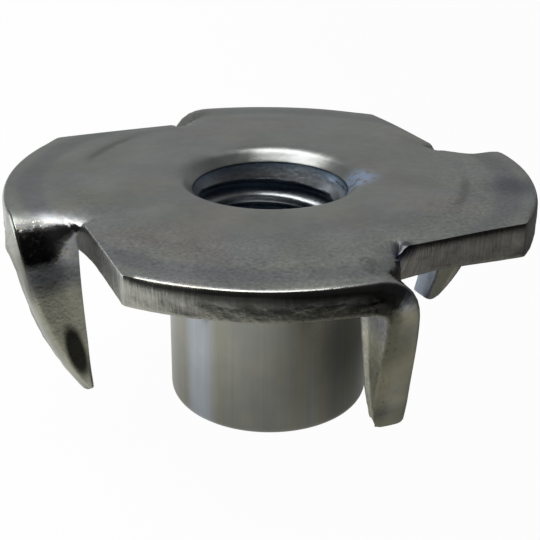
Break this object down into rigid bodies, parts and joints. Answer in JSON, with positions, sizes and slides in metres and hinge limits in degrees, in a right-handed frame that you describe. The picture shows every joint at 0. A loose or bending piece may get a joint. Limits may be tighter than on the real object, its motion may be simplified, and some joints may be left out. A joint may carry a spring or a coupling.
{
  "type": "four-prong tee nut",
  "caption": "Threaded steel barrel drawn from a round flange, with pointed prongs bent down at its rim that bite into wood and keep the nut from turning.",
  "frame": {"origin": "centre of the barrel end, on the thread axis", "axes": "+Z along the thread axis from the barrel end to the flange; the outer faces of the prongs look along +X, +Y, -X and -Y"},
  "size_m": [0.0195, 0.0194, 0.009],
  "materials": {
    "zinc_steel": "bright zinc plate, satin, faintly tinted"
  },
  "bodies": {
    "root": {"tee_nut": "zinc_steel"}
  },
  "joints": []
}
